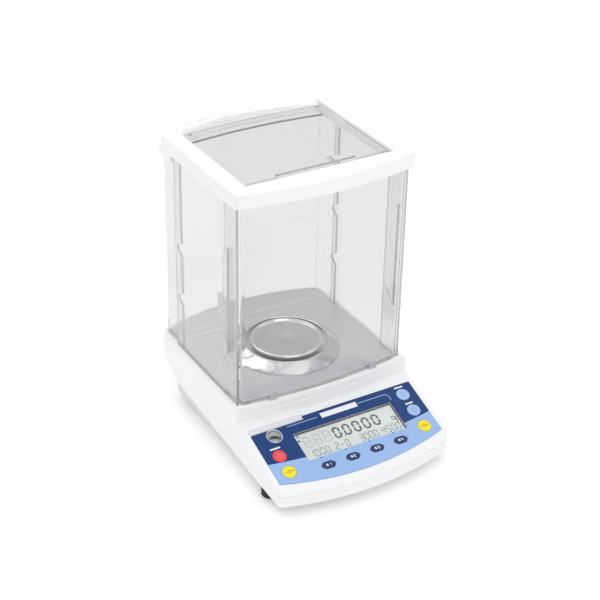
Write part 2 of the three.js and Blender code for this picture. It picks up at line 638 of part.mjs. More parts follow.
function addWeighCell() {
  const bed = box(-46, 46, 34, 150, -65, -60.5);
  const bedFeet = [[-40, 40], [40, 40], [-40, 144], [40, 144]].map(([x, y]) => (
    cylinder(x, y, 5, -70.2, -62, 12)));
  add('cell_bed', bedFeet.reduce((all, foot) => all.add(foot), bed), looks.aluminium);

  let cell = box(-24, 24, 84, 112, -60.2, -16);
  for (const z of [-50, -38, -26]) cell = cell.subtract(box(-30, 30, 82, 106, z - 0.8, z + 0.8));
  add('weigh_cell', cell, looks.aluminium);
  const pot = [[0, -60.2], [13.5, -60.2], [13.5, -34], [11, -31], [0, -31]];
  add('magnet_pot', lathe(pot, 0, 128, 28), looks.steel);

  const receptor = box(-9, 9, 58, 83.6, -33, -27.3).add(box(-9, 9, 80, 83.6, -52, -30))
    .add(box(-9, 9, 60, 82, -52, -50.2));
  add('load_receptor', receptor, looks.aluminium);
  add('calibration_weight', lyingCylinder(ALONG_X, [70, -42], 6.4, -17, 17, 28), looks.polished);
  const fork = [-1, 1].map((side) => box(Math.min(side * 13, side * 16), Math.max(side * 13, side * 16),
    60, 76, -57.5, -48.8));
  const cradle = fork[0].add(fork[1]).add(box(-16, 16, 54, 66, -58.5, -56.1));
  add('calibration_lifter', cradle, looks.grey);
  add('calibration_motor', lyingCylinder(ALONG_X, [44, -52.5], 7.5, -14, 14, 24), looks.steel);

  let board = box(50, 92, -10, 120, -66, -64.4);
  for (const [x, y, w, d, h] of [[60, 10, 8, 12, 9], [76, 30, 14, 14, 4], [62, 60, 10, 20, 6], [80, 90, 8, 8, 12]]) {
    board = board.add(box(x, x + w, y, y + d, -65, -64.4 + h));
  }
  add('main_board', board, looks.board);
  let power = box(-92, -50, 20, 120, -66, -64.4);
  for (const y of [34, 60, 86]) power = power.add(cylinder(-72, y, 7, -65, -48, 16));
  add('power_board', power, looks.board);
}

function addConnectors() {
  const { left, right, low, high } = CONNECTOR_PLATE;
  const face = basePlan.rear + GAP;
  const plane = face + 1.8;
  const shellHole = (x0, x1, z0, z1) => box(x0, x1, 150, 170, z0, z1);
  let plate = extrude(rounded([[low, left, 2], [low, right, 2], [high, right, 2], [high, left, 2]].map(
    ([z, x, r]) => [z, x, r]), 3), face, plane, ALONG_Y);
  plate = plate.subtract(shellHole(-55.3, -40.7, -60.3, -47.7)).subtract(shellHole(-22.3, 10.3, -60.3, -47.7))
    .subtract(shellHole(27.7, 42.3, -60.3, -47.7));
  add('connector_plate', plate, looks.grey);

  const jack = box(-55, -41, 146, plane + 1.2, -60, -48)
    .subtract(lyingCylinder(ALONG_Y, [-54, -48], 3.1, 150, 170, 20))
    .add(lyingCylinder(ALONG_Y, [-54, -48], 1.1, 149, plane, 12));
  add('power_jack', jack, looks.black);
  const dShape = (grow) => rounded([[-60 + 1.4 - grow, -20 - grow, 2], [-60 + 1.4 - grow, 8 + grow, 2],
    [-48 - 1.4 + grow, 6 + grow, 2], [-48 - 1.4 + grow, -18 - grow, 2]], 3);
  const serial = box(-22, 10, 150, plane + 0.8, -60, -48).add(extrude(dShape(0), plane, plane + 5.5, ALONG_Y));
  add('serial_port', serial, looks.steel);
  const usb = box(28, 42, 146, plane + 1, -60, -48).subtract(box(30.5, 39.5, 152, 170, -58, -50))
    .add(box(32.5, 37.5, 150, plane, -56, -52.4));
  add('data_port', usb, looks.steel);
}

addHousing();
addFeet();
addControlPanel();
addDraftShield();
addWeighing();
addWeighCell();
addConnectors();

// The origin is on the table, under the middle of the whole object.
const extent = new THREE.Box3().setFromObject(body, true);
body.position.y = -(extent.min.y + extent.max.y) / 2;

export default balance;
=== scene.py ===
# %% [markdown]
# # An analytical balance
# The model that comes out of the CAD step is the fixed frame of this scene. It says where each part is
# and how it moves. Blender gives it its rounded edges, its clear panels, its print and its metals.
# All lengths are in metres, +Z is up and the keypad faces -Y.

# %% Load the frame
import json
import math

import bmesh
import bpy
from mathutils import Matrix, Vector

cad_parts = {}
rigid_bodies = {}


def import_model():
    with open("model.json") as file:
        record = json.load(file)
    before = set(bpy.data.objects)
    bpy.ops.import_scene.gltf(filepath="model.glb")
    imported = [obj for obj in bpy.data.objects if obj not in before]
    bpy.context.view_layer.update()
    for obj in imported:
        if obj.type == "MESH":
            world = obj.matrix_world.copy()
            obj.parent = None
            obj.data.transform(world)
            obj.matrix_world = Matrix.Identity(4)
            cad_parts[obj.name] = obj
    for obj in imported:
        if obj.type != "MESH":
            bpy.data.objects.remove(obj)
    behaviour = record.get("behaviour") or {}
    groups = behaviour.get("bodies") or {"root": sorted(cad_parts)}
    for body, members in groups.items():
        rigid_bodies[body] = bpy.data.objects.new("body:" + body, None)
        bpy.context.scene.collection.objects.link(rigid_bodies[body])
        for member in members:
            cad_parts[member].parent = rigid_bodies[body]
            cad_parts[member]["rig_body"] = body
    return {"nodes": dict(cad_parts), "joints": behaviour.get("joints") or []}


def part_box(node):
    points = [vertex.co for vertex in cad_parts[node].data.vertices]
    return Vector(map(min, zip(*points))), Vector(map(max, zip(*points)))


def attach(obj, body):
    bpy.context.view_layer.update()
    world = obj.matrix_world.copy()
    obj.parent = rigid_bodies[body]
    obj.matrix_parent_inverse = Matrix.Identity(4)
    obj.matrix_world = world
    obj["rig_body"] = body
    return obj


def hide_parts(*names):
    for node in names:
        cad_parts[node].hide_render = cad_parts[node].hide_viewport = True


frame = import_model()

MM = 0.001
scene = bpy.context.scene
nodes = frame["nodes"]
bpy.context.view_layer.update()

# %% [markdown]
# ## Two drawing frames
# Most of the balance is easiest to describe from its weighing deck, and the keypad from its own sloping
# plane. Both are found from the frame: the pan's place gives the deck, a key's direction of travel gives
# the panel's slope, and the flat display window gives its place. A shape can then be drawn flat and laid
# on the panel by one matrix.

# %% The deck and the panel
PAN_BEHIND_FRONT = 74.5 * MM
DECK_ABOVE_POST_FOOT = 27 * MM
WINDOW_ON_PANEL = Vector((4, -59.6, -1.1)) * MM


def middle(node):
    low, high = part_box(node)
    return (Vector(low) + Vector(high)) / 2


pan_middle = middle("weighing_pan")
deck_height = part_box("pan_support")[0].z + DECK_ABOVE_POST_FOOT
DECK = Vector((pan_middle.x, pan_middle.y - PAN_BEHIND_FRONT, deck_height))

press = next(joint["axis"] for joint in frame["joints"] if joint["name"] == "power_key_press")
panel_out = -Vector(press).normalized()
panel_up = Vector((0, panel_out.z, -panel_out.y))
PANEL = Matrix((Vector((1, 0, 0)), panel_up, panel_out)).transposed()
panel_origin = middle("display_window") - PANEL @ WINDOW_ON_PANEL
PANEL = Matrix.Translation(panel_origin) @ PANEL.to_4x4()
AT_DECK = Matrix.Translation(DECK)
print("deck at", [round(place / MM, 2) for place in DECK])
print("panel slope", round(math.degrees(panel_up.angle((0, 1, 0))), 2))

# %% [markdown]
# ## Shader node groups
# Several finishes share an effect, such as the fine texture of a moulding or the lines of a brushed
# sheet. Each effect is a node group with named sockets, so a material states only its own amounts.
# A group gives out heights, masks and tones, and the shader itself stays in the material.


# %% Start a node group
def start_group(name, inputs, outputs):
    tree = bpy.data.node_groups.new(name, "ShaderNodeTree")
    for label, value in inputs.items():
        socket = tree.interface.new_socket(label, in_out="INPUT", socket_type="NodeSocketFloat")
        socket.default_value = value
    for label in outputs:
        tree.interface.new_socket(label, in_out="OUTPUT", socket_type="NodeSocketFloat")
    return tree, tree.nodes.new("NodeGroupInput"), tree.nodes.new("NodeGroupOutput")


def arithmetic(tree, operation, first, second=0.0, third=None):
    node = tree.nodes.new("ShaderNodeMath")
    node.operation = operation
    for socket, value in zip(node.inputs, (first, second, third)):
        if value is None:
            continue
        if isinstance(value, (int, float)):
            socket.default_value = value
        else:
            tree.links.new(value, socket)
    return node.outputs[0]


def noise(tree, vector, scale, detail=2.0, roughness=0.5):
    node = tree.nodes.new("ShaderNodeTexNoise")
    node.inputs["Detail"].default_value = detail
    node.inputs["Roughness"].default_value = roughness
    tree.links.new(vector, node.inputs["Vector"])
    if isinstance(scale, (int, float)):
        node.inputs["Scale"].default_value = scale
    else:
        tree.links.new(scale, node.inputs["Scale"])
    return node.outputs["Fac"]


def remap(tree, value, from_low, from_high, to_low=0.0, to_high=1.0):
    node = tree.nodes.new("ShaderNodeMapRange")
    tree.links.new(value, node.inputs["Value"])
    limits = {"From Min": from_low, "From Max": from_high, "To Min": to_low, "To Max": to_high}
    for label, number in limits.items():
        if isinstance(number, (int, float)):
            node.inputs[label].default_value = number
        else:
            tree.links.new(number, node.inputs[label])
    return node.outputs["Result"]


# %% [markdown]
# ### Moulded grain
# A plastic moulding copies the etched skin of its steel mould: a grain of a few tenths of a millimetre,
# with slow changes in gloss where the plastic flowed. Two noises give these, one fine and one broad.


# %% Moulded grain
def moulded_grain():
    tree, given, result = start_group(
        "Moulded grain", {"Grain per metre": 2600.0, "Flow": 1.0}, ["Height", "Tone"])
    place = tree.nodes.new("ShaderNodeTexCoord").outputs["Object"]
    fine = noise(tree, place, given.outputs["Grain per metre"], 3.0, 0.6)
    broad = noise(tree, place, 14.0, 2.0)
    flow = arithmetic(tree, "MULTIPLY", arithmetic(tree, "SUBTRACT", broad, 0.5), given.outputs["Flow"])
    tree.links.new(fine, result.inputs["Height"])
    tree.links.new(arithmetic(tree, "ADD", flow, 0.5), result.inputs["Tone"])
    return tree


MOULDED_GRAIN = moulded_grain()
print("group", MOULDED_GRAIN.name)

# %% [markdown]
# ### Brushed lines
# Brushing leaves fine parallel scratches. Their section changes quickly across the brush and hardly at
# all along it, so a noise is stretched: its place across counts fully and its place along is scaled
# down. The material says what across and along mean: straight on a plate, round on a turned pan.


# %% Brushed lines
def brushed_lines():
    tree, given, result = start_group(
        "Brushed lines", {"Across": 0.0, "Along": 0.0, "Lines per metre": 2400.0}, ["Height", "Tone"])
    place = tree.nodes.new("ShaderNodeCombineXYZ")
    tree.links.new(given.outputs["Across"], place.inputs["X"])
    tree.links.new(arithmetic(tree, "MULTIPLY", given.outputs["Along"], 0.012), place.inputs["Y"])
    lines = noise(tree, place.outputs[0], given.outputs["Lines per metre"], 4.0, 0.65)
    bands = noise(tree, place.outputs[0], 160.0, 2.0)
    tree.links.new(lines, result.inputs["Height"])
    fine_share = arithmetic(tree, "MULTIPLY", lines, 0.55)
    tree.links.new(arithmetic(tree, "MULTIPLY_ADD", bands, 0.45, fine_share), result.inputs["Tone"])
    return tree


BRUSHED_LINES = brushed_lines()
print("group", BRUSHED_LINES.name)

# %% [markdown]
# ### Handling marks
# Panels and metal that are touched carry faint smears, seen only as a change of gloss. A broad noise
# decides where hands have been, and a finer one breaks each smear up.


# %% Handling marks
def handling_marks():
    tree, given, result = start_group("Handling marks", {"Marks per metre": 16.0, "Cover": 0.45}, ["Mask"])
    place = tree.nodes.new("ShaderNodeTexCoord").outputs["Object"]
    patches = noise(tree, place, given.outputs["Marks per metre"], 3.0, 0.55)
    finer = arithmetic(tree, "MULTIPLY", given.outputs["Marks per metre"], 9.0)
    smear = noise(tree, place, finer, 4.0, 0.7)
    limit = arithmetic(tree, "SUBTRACT", 1.0, given.outputs["Cover"])
    where = remap(tree, patches, limit, arithmetic(tree, "ADD", limit, 0.25))
    tree.links.new(arithmetic(tree, "MULTIPLY", where, smear), result.inputs["Mask"])
    return tree


HANDLING_MARKS = handling_marks()
print("group", HANDLING_MARKS.name)

# %% [markdown]
# ## Material helpers
# Every finish starts the same way: an output, one Principled shader, and the groups it needs. Colours
# are given as they look on a screen and turned into the linear values that the shader wants.


# %% Start a material
def linear(red, green, blue):
    """A screen colour, 0 to 255, as linear light."""
    def channel(value):
        share = value / 255
        return share / 12.92 if share <= 0.04045 else ((share + 0.055) / 1.055) ** 2.4
    return (channel(red), channel(green), channel(blue), 1.0)


def start_material(name, metallic=0.0):
    material = bpy.data.materials.new(name)
    material.use_nodes = True
    tree = material.node_tree
    tree.nodes.clear()
    output = tree.nodes.new("ShaderNodeOutputMaterial")
    shader = tree.nodes.new("ShaderNodeBsdfPrincipled")
    shader.inputs["Metallic"].default_value = metallic
    tree.links.new(shader.outputs["BSDF"], output.inputs["Surface"])
    return material, tree, shader


def place_group(tree, group, **values):
    node = tree.nodes.new("ShaderNodeGroup")
    node.node_tree = group
    for label, value in values.items():
        node.inputs[label.replace("_", " ")].default_value = value
    return node


def tint(tree, factor, dark, light):
    node = tree.nodes.new("ShaderNodeMix")
    node.data_type = "RGBA"
    for socket, colour in (("A", dark), ("B", light)):
        target = next(s for s in node.inputs if s.name == socket and s.type == "RGBA")
        if isinstance(colour, tuple):
            target.default_value = colour
        else:
            tree.links.new(colour, target)
    tree.links.new(factor, node.inputs[0])
    return next(s for s in node.outputs if s.type == "RGBA")


def bump(tree, shader, height, depth, distance=0.0001):
    node = tree.nodes.new("ShaderNodeBump")
    node.inputs["Strength"].default_value = depth
    node.inputs["Distance"].default_value = distance
    tree.links.new(height, node.inputs["Height"])
    tree.links.new(node.outputs["Normal"], shader.inputs["Normal"])


def darker(colour, share):
    return tuple(channel * share for channel in colour[:3]) + (1.0,)


# %% [markdown]
# ### Moulded plastics
# The housing, the base, the keys and the feet are injection mouldings. They differ in colour, gloss and
# coarseness of grain, so one function makes them all from those three.


# %% Moulded plastics
def moulded(name, colour, roughness, depth=0.12, grain=2600.0, spread=0.05):
    material, tree, shader = start_material(name)
    grained = place_group(tree, MOULDED_GRAIN, Grain_per_metre=grain, Flow=1.0)
    handled = place_group(tree, HANDLING_MARKS, Marks_per_metre=12.0, Cover=0.42)
    base = tint(tree, grained.outputs["Tone"], darker(colour, 1 - spread), colour)
    tree.links.new(base, shader.inputs["Base Color"])
    gloss = remap(tree, handled.outputs["Mask"], 0.0, 1.0, roughness, roughness + 0.09)
    tree.links.new(gloss, shader.inputs["Roughness"])
    bump(tree, shader, grained.outputs["Height"], depth)
    return material


WHITE = moulded("White moulded plastic", linear(246, 247, 248), 0.36, 0.10, spread=0.02)
BASE_GREY = moulded("Light grey moulded plastic", linear(226, 227, 229), 0.5, 0.25, 1800.0, 0.04)
CLIP_GREY = moulded("Grey clip plastic", linear(186, 187, 190), 0.4, 0.1, spread=0.06)
LABEL = moulded("Pale label plate", linear(226, 229, 234), 0.4, 0.05, spread=0.02)
BLACK = moulded("Black rubber", linear(26, 26, 27), 0.55, 0.4, 1500.0, 0.2)
SEAL_GREY = moulded("Grey seal", linear(226, 227, 229), 0.5, 0.1, spread=0.08)
# Black for the hood's seal, and for the painted shadow round the display.
BLACK_SEAL_AND_PAINTED_SHADOW = moulded("Black seal and painted shadow", linear(20, 22, 30), 0.5, 0.2, spread=0.2)
RED = moulded("Red key", linear(246, 72, 86), 0.34, 0.12, spread=0.08)
YELLOW = moulded("Yellow key", linear(250, 232, 28), 0.34, 0.12, spread=0.04)
PALE_BLUE = moulded("Pale blue key", linear(168, 198, 245), 0.34, 0.12, spread=0.04)
DARK_BLUE = moulded("Dark blue key", linear(14, 46, 104), 0.34, 0.12, spread=0.1)
print("plastics made")

# %% [markdown]
# ### Clear panels
# The shield is cast acrylic. Its faces are polished and pass almost all light, with a faint grey tint
# that adds up where one panel stands behind another. Light from lamps has to reach what stands inside,
# and a path tracer finds that hard through refracting panels, so for shadow rays, for light that has
# scattered inside and for light that has been trapped in the sheet, the panel counts as a tinted film.
# The hood's thin fold is made mostly of such a film, which keeps it light.


# %% Clear panels
def clear(name, colour, film, roughness, transmission=1.0, film_share=0.0):
    material, tree, shader = start_material(name)
    shader.inputs["Base Color"].default_value = colour
    shader.inputs["Transmission Weight"].default_value = transmission
    shader.inputs["IOR"].default_value = 1.49
    handled = place_group(tree, HANDLING_MARKS, Marks_per_metre=9.0, Cover=0.5)
    gloss = remap(tree, handled.outputs["Mask"], 0.0, 1.0, roughness, roughness + 0.03)
    tree.links.new(gloss, shader.inputs["Roughness"])
    through = tree.nodes.new("ShaderNodeBsdfTransparent")
    through.inputs["Color"].default_value = film
    path = tree.nodes.new("ShaderNodeLightPath")
    trapped = arithmetic(tree, "GREATER_THAN", path.outputs["Glossy Depth"], 1.5)
    deep = arithmetic(tree, "GREATER_THAN", path.outputs["Ray Depth"], 7.5)
    plain = arithmetic(tree, "MAXIMUM", path.outputs["Is Shadow Ray"], path.outputs["Is Diffuse Ray"])
    plain = arithmetic(tree, "MAXIMUM", plain, arithmetic(tree, "MAXIMUM", trapped, deep))
    plain = arithmetic(tree, "MAXIMUM", plain, film_share)
    choice = tree.nodes.new("ShaderNodeMixShader")
    tree.links.new(plain, choice.inputs[0])
    tree.links.new(shader.outputs["BSDF"], choice.inputs[1])
    tree.links.new(through.outputs["BSDF"], choice.inputs[2])
    output = next(node for node in tree.nodes if node.type == "OUTPUT_MATERIAL")
    tree.links.new(choice.outputs["Shader"], output.inputs["Surface"])
    return material


CLEAR = clear("Clear acrylic", (0.845, 0.848, 0.852, 1), (0.95, 0.95, 0.95, 1), 0.0)
FOLD = clear("Thin acrylic fold", (0.98, 0.98, 0.98, 1), (0.98, 0.98, 0.98, 1), 0.0,
             film_share=0.65)
CUT_EDGE = clear("Acrylic cut edge", (0.42, 0.43, 0.44, 1), (0.8, 0.8, 0.8, 1), 0.25, 0.5)
WINDOW = clear("Display window", (0.97, 0.98, 0.97, 1), (0.98, 0.98, 0.98, 1), 0.02)
print("clear materials made")

# %% [markdown]
# ### Brushed and polished metals
# The floor plate is brushed straight, from side to side. The pan and the draft ring are turned, so their
# lines run round the middle of the pan. For these, across is the distance from that middle and along is
# the angle around it.


# %% Brushed and polished metals
def straight_brush(tree):
    place = tree.nodes.new("ShaderNodeTexCoord").outputs["Object"]
    split = tree.nodes.new("ShaderNodeSeparateXYZ")
    tree.links.new(place, split.inputs[0])
    return split.outputs["Y"], split.outputs["X"]


def round_brush(tree):
    place = tree.nodes.new("ShaderNodeTexCoord").outputs["Object"]
    split = tree.nodes.new("ShaderNodeSeparateXYZ")
    tree.links.new(place, split.inputs[0])
    x = arithmetic(tree, "SUBTRACT", split.outputs["X"], pan_middle.x)
    y = arithmetic(tree, "SUBTRACT", split.outputs["Y"], pan_middle.y)
    radius = arithmetic(tree, "SQRT", arithmetic(tree, "ADD", arithmetic(tree, "MULTIPLY", x, x),
                                                 arithmetic(tree, "MULTIPLY", y, y)))
    across = arithmetic(tree, "ADD", radius, arithmetic(tree, "MULTIPLY", split.outputs["Z"], 0.7))
    return across, arithmetic(tree, "MULTIPLY", arithmetic(tree, "ARCTAN2", y, x), 0.04)


def metal(name, colour, roughness, brush=straight_brush, depth=0.2, lines=2400.0, spread=0.14):
    material, tree, shader = start_material(name, metallic=1.0)
    across, along = brush(tree)
    brushed = place_group(tree, BRUSHED_LINES, Lines_per_metre=lines)
    tree.links.new(across, brushed.inputs["Across"])
    tree.links.new(along, brushed.inputs["Along"])
    handled = place_group(tree, HANDLING_MARKS, Marks_per_metre=20.0, Cover=0.4)
    base = tint(tree, brushed.outputs["Tone"], darker(colour, 1 - spread), colour)
    tree.links.new(base, shader.inputs["Base Color"])
    lined = remap(tree, brushed.outputs["Tone"], 0.3, 0.7, roughness * 0.85, roughness * 1.15)
    smeared = arithmetic(tree, "MULTIPLY_ADD", handled.outputs["Mask"], 0.06, lined)
    tree.links.new(smeared, shader.inputs["Roughness"])
    bump(tree, shader, brushed.outputs["Height"], depth)
    return material


FLOOR_STEEL = metal("Brushed floor steel", linear(244, 244, 246), 0.38)
PAN_STEEL = metal("Brushed pan steel", linear(228, 228, 231), 0.3, round_brush, 0.16)
RIM_STEEL = metal("Bright rim steel", linear(244, 244, 246), 0.16, round_brush, 0.05, 1200.0, 0.04)
POLISHED = metal("Polished steel", linear(238, 238, 240), 0.1, round_brush, 0.03, 1200.0, 0.05)
SCREW_STEEL = metal("Zinc plated steel", linear(176, 178, 184), 0.32, depth=0.1)
ALUMINIUM = metal("Machined aluminium", linear(196, 198, 202), 0.36, depth=0.15, lines=1500.0)
PLATED = metal("Nickel plated steel", linear(204, 210, 220), 0.28, depth=0.08)
print("metals made")

# %% [markdown]
# ### The printed membrane
# The keypad is one printed polyester sheet. It is dark blue, with a paler field along the front whose
# edge is a shallow arc. The arc is a formula on the sheet's own place, so the edge stays crisp at any
# distance: a point is in the pale field where it lies in front of the arc. A fine pebble grain, as on
# real membranes, breaks up the gloss.

# %% The printed membrane
FIELD_EDGE = -67.6 * MM
FIELD_BOW = 7.6 * MM
FIELD_HALF_WIDTH = 98.5 * MM


def along_panel(tree):
    """The place on the panel: x across it and v up it, from the coordinates of the balance."""
    place = tree.nodes.new("ShaderNodeTexCoord").outputs["Object"]
    offset = tree.nodes.new("ShaderNodeVectorMath")
    offset.operation = "SUBTRACT"
    tree.links.new(place, offset.inputs[0])
    offset.inputs[1].default_value = PANEL.translation
    upward = tree.nodes.new("ShaderNodeVectorMath")
    upward.operation = "DOT_PRODUCT"
    tree.links.new(offset.outputs["Vector"], upward.inputs[0])
    upward.inputs[1].default_value = panel_up
    split = tree.nodes.new("ShaderNodeSeparateXYZ")
    tree.links.new(offset.outputs["Vector"], split.inputs[0])
    return split.outputs["X"], upward.outputs["Value"]


def membrane():
    material, tree, shader = start_material("Printed membrane")
    x, v = along_panel(tree)
    across = arithmetic(tree, "DIVIDE", x, FIELD_HALF_WIDTH)
    squared = arithmetic(tree, "MULTIPLY", across, across)
    edge = arithmetic(tree, "MULTIPLY_ADD", squared, FIELD_BOW, FIELD_EDGE - FIELD_BOW)
    behind = remap(tree, arithmetic(tree, "SUBTRACT", v, edge), -0.1 * MM, 0.1 * MM)
    grained = place_group(tree, MOULDED_GRAIN, Grain_per_metre=4200.0, Flow=1.0)
    front = tint(tree, grained.outputs["Tone"], linear(150, 184, 232), linear(160, 193, 240))
    rear = tint(tree, grained.outputs["Tone"], linear(0, 52, 112), linear(4, 60, 124))
    tree.links.new(tint(tree, behind, front, rear), shader.inputs["Base Color"])
    handled = place_group(tree, HANDLING_MARKS, Marks_per_metre=30.0, Cover=0.5)
    gloss = remap(tree, handled.outputs["Mask"], 0.0, 1.0, 0.32, 0.42)
    tree.links.new(gloss, shader.inputs["Roughness"])
    shader.inputs["Specular IOR Level"].default_value = 0.35
    bump(tree, shader, grained.outputs["Height"], 0.12)
    return material


MEMBRANE = membrane()
print("membrane made")

# %% [markdown]
# ### The liquid crystal display
# A reflective display is a grey-green sheet with a very fine square grid of lines. Two fine waves, one
# across and one up the panel, darken the sheet a little where the lines are. The dark segments are
# separate thin shapes, so they need only an ink.


# %% The display's sheet and its inks
def grid_line(tree, place, pitch):
    phase = arithmetic(tree, "MULTIPLY", place, 2 * math.pi / pitch)
    return remap(tree, arithmetic(tree, "COSINE", phase), 0.86, 1.0)


def display_sheet():
    material, tree, shader = start_material("Reflective display sheet")
    x, v = along_panel(tree)
    lines = arithmetic(tree, "MAXIMUM", grid_line(tree, x, 0.9 * MM), grid_line(tree, v, 0.9 * MM))
    grained = place_group(tree, MOULDED_GRAIN, Grain_per_metre=3000.0, Flow=1.4)
    sheet = tint(tree, grained.outputs["Tone"], linear(212, 220, 220), linear(229, 236, 235))
    lined = tint(tree, arithmetic(tree, "MULTIPLY", lines, 0.4), sheet, linear(202, 210, 210))
    tree.links.new(lined, shader.inputs["Base Color"])
    shader.inputs["Roughness"].default_value = 0.4
    bump(tree, shader, grained.outputs["Height"], 0.04)
    return material


def ink(name, colour, spread=0.08):
    return moulded(name, colour, 0.45, 0.05, 5000.0, spread)


DISPLAY_SHEET = display_sheet()
SEGMENT_INK = ink("Dark segment", linear(44, 48, 56))
FAINT_INK = ink("Thin segment", linear(112, 118, 120))
RESTING_INK = ink("Resting segment", linear(200, 205, 200))
WHITE_INK = ink("White print", linear(240, 244, 250), spread=0.02)
LINE_INK = ink("Pale line print", linear(150, 180, 224))
NAVY_INK = ink("Navy print", linear(20, 46, 98))
OCHRE_INK = ink("Ochre print", linear(176, 148, 30))
BLUSH_INK = ink("Blush print", linear(250, 150, 136))
SKY_INK = ink("Sky print", linear(112, 150, 214))
print("display and inks made")

# %% [markdown]
# ### Level, boards and the rest
# The level's vial is a small glass dome over a green-grey fluid. A black lens shape, cut from a parabola
# and a straight line, is a painted dark reflection in its lower half. The circuit boards inside are
# green lacquer with a faint pattern of tracks, which two waves at right angles give.


# %% Level fluid and circuit boards
LEVEL = (-76.5, -37.0)
VIAL_RADIUS = 6.8


def level_fluid():
    material, tree, shader = start_material("Level fluid")
    x, v = along_panel(tree)
    from_x = arithmetic(tree, "SUBTRACT", x, LEVEL[0] * MM)
    from_v = arithmetic(tree, "SUBTRACT", v, LEVEL[1] * MM)
    level_x = arithmetic(tree, "DIVIDE", from_x, VIAL_RADIUS * MM)
    level_v = arithmetic(tree, "DIVIDE", from_v, VIAL_RADIUS * MM)
    # The black lens is painted reflection: below a parabola and above a line tilted across the panel.
    tilted = arithmetic(tree, "MULTIPLY_ADD", level_x, 0.38, level_v)
    arc = arithmetic(tree, "MULTIPLY_ADD", arithmetic(tree, "MULTIPLY", level_x, level_x), -0.5, 0.16)
    inside = remap(tree, arithmetic(tree, "SUBTRACT", arc, tilted), 0.0, 0.08)
    foot = remap(tree, tilted, -0.68, -0.58)
    dark = arithmetic(tree, "MULTIPLY", inside, foot)
    marks = place_group(tree, HANDLING_MARKS, Marks_per_metre=300.0, Cover=0.5)
    pale = tint(tree, marks.outputs["Mask"], linear(158, 164, 160), linear(190, 188, 190))
    tree.links.new(tint(tree, dark, pale, linear(22, 24, 24)), shader.inputs["Base Color"])
    shader.inputs["Roughness"].default_value = 0.06
    shader.inputs["Coat Weight"].default_value = 1.0
    return material


def circuit_board():
    material, tree, shader = start_material("Green circuit board")
    place = tree.nodes.new("ShaderNodeTexCoord").outputs["Object"]
    split = tree.nodes.new("ShaderNodeSeparateXYZ")
    tree.links.new(place, split.inputs[0])
    tracks = arithmetic(tree, "MAXIMUM", grid_line(tree, split.outputs["X"], 3.2 * MM),
                        grid_line(tree, split.outputs["Y"], 4.1 * MM))
    breaks = remap(tree, noise(tree, place, 120.0), 0.48, 0.52)
    pattern = arithmetic(tree, "MULTIPLY", tracks, breaks)
    lacquer = tint(tree, pattern, linear(28, 104, 58), linear(60, 148, 84))
    tree.links.new(lacquer, shader.inputs["Base Color"])
    shader.inputs["Roughness"].default_value = 0.35
    return material


LEVEL_FLUID = level_fluid()
BOARD = circuit_board()
print("level and boards made")

# %% [markdown]
# ## Mesh helpers
# A piece that keeps its CAD shape is still better with the small rounds that a mould or a tool leaves.
# The CAD mesh itself is never touched: a copy is cleaned, its flat areas are joined into whole faces,
# its sharp edges are rounded by a Bevel modifier, and weighted normals keep the flats flat.


# %% Add a piece
made = []


def add_piece(name, mesh, materials, body, replaced=()):
    piece = bpy.data.objects.new(name, mesh)
    scene.collection.objects.link(piece)
    for material in materials:
        mesh.materials.append(material)
    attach(piece, body)
    if replaced:
        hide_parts(*replaced)
    made.append(name)
    print(f"{name}: {len(mesh.polygons)} faces on {body}")
    return piece


SHARP = 35


def cleaned_copy(node, name):
    work = bmesh.new()
    work.from_mesh(nodes[node].data)
    for layer in list(work.loops.layers.float_vector.values()):
        work.loops.layers.float_vector.remove(layer)
    bmesh.ops.remove_doubles(work, verts=work.verts, dist=2e-6)
    bmesh.ops.dissolve_limit(work, angle_limit=math.radians(0.4), verts=work.verts, edges=work.edges)
    mesh = bpy.data.meshes.new(name)
    work.to_mesh(mesh)
    work.free()
    mesh.materials.clear()
    return mesh


def smooth(mesh, angle):
    mesh.shade_smooth()
    mesh.set_sharp_from_angle(angle=math.radians(angle))


def round_edges(piece, width, steps, angle=SHARP):
    bevel = piece.modifiers.new("Rounded edges", "BEVEL")
    bevel.width = width
    bevel.segments = steps
    bevel.limit_method = "ANGLE"
    bevel.angle_limit = math.radians(angle)
    bevel.use_clamp_overlap = True
    bevel.harden_normals = False
    weighted = piece.modifiers.new("Flat stays flat", "WEIGHTED_NORMAL")
    weighted.keep_sharp = True


def refined(node, name, material, width=0.3 * MM, steps=2):
    mesh = cleaned_copy(node, name)
    smooth(mesh, SHARP)
    piece = add_piece(name, mesh, [material], nodes[node]["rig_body"], [node])
    if width:
        round_edges(piece, width, steps)


# %% [markdown]
# ## Housing
# The housing is one white moulding: the deck that carries the shield, the stepped riser, the sloping
# keypad and the skirt. The pale pan that closes it from below stands on two black levelling feet in
# front and two fixed feet behind. Their shapes come from the frame, and only their edges are rounded.

# %% Housing, base, feet and screws
refined("upper_housing", "housing_shell", WHITE, 0.5 * MM, 3)
refined("base_pan", "base_shell", BASE_GREY, 0.4 * MM)
for side in ("left", "right"):
    refined(f"levelling_foot_{side}", f"{side}_levelling_wheel", BLACK, 0.25 * MM)
    refined(f"rear_foot_{side}", f"{side}_rear_pad", BLACK, 0.3 * MM)
for number in range(1, 5):
    refined(f"housing_screw_{number}", f"base_screw_{number}", SCREW_STEEL, 0.1 * MM, 1)
print("pieces so far:", len(made))

# %% [markdown]
# ## Draft shield
# The clear panels are sawn from sheet, so their faces are polished and their cut edges are duller and
# look grey. A panel piece has two material slots, and every narrow face, one about as wide as the sheet
# is thick, takes the second. The narrow strips that make up a moulded corner are left clear. The rear
# hood has a third finish above the height of its fold.


# %% Clear panel pieces
SHEET = 3 * MM
GRIP_PROUD = 3.2 * MM
DOOR_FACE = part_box("right_door")[1].x - GRIP_PROUD + 0.1 * MM
LID_FACE = DECK.z + 241.7 * MM
FOLD_HEIGHT = DECK.z + 226 * MM


def is_narrow(face):
    longest = max(edge.calc_length() for edge in face.edges)
    return face.calc_area() / longest < SHEET * 1.12


